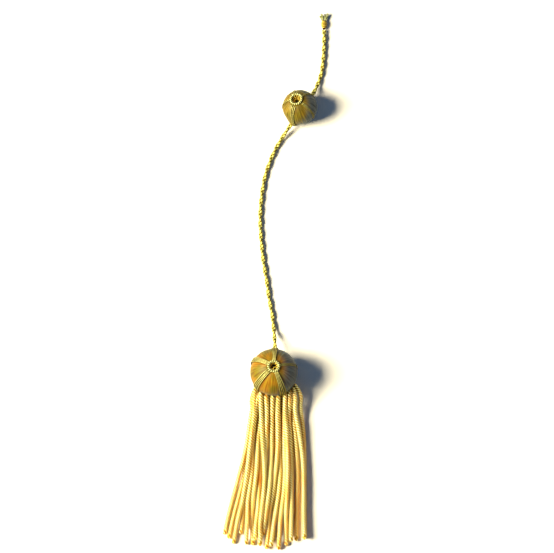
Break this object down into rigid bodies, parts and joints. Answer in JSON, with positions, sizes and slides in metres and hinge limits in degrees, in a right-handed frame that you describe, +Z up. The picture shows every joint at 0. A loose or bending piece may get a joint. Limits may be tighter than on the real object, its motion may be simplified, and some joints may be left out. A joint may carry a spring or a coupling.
{
  "type": "bullion tassel",
  "caption": "Bullion tassel lying flat: silk-wound head ball with a skirt of thick twisted gold bullions, a two-ply gold cord and a small slide bead on the cord.",
  "frame": {"origin": "centre of the flat spot that the head ball rests on, on the surface the tassel lies on", "axes": "+Z up, +Y from the skirt towards the cord's cut end, +X to the right as seen from above with the cord's end away from the viewer"},
  "size_m": [0.0676, 0.3543, 0.0308],
  "materials": {
    "silk": "amber floss silk wound from pole to pole over a turned mould",
    "gold_thread": "pale gold metallic thread, satin",
    "bullion": "gold bullion cord, tightly twisted, bright on the ribs",
    "cord": "two-ply gimped gold cord"
  },
  "bodies": {
    "root": {"head_ball": "silk", "head_eyelet": "gold_thread", "head_band_1": "gold_thread", "head_band_2": "gold_thread", "head_band_3": "gold_thread", "head_band_4": "gold_thread", "head_band_5": "gold_thread", "skirt_heading": "gold_thread", "bullion_01": "bullion", "bullion_02": "bullion", "bullion_03": "bullion", "bullion_04": "bullion", "bullion_05": "bullion", "bullion_06": "bullion", "bullion_07": "bullion", "bullion_08": "bullion", "bullion_09": "bullion", "bullion_10": "bullion", "bullion_11": "bullion", "bullion_12": "bullion", "bullion_13": "bullion", "bullion_14": "bullion", "bullion_15": "bullion", "bullion_16": "bullion", "bullion_17": "bullion", "bullion_18": "bullion", "bullion_19": "bullion", "bullion_20": "bullion", "bullion_21": "bullion", "bullion_22": "bullion", "bullion_23": "bullion", "bead_ball": "silk", "bead_eyelet": "gold_thread", "bead_band_1": "gold_thread", "bead_band_2": "gold_thread", "bead_band_3": "gold_thread", "bead_band_4": "gold_thread", "bead_band_5": "gold_thread", "cord": "cord", "cord_whipping": "gold_thread", "cord_ply_left": "cord", "cord_ply_right": "cord"}
  },
  "joints": []
}
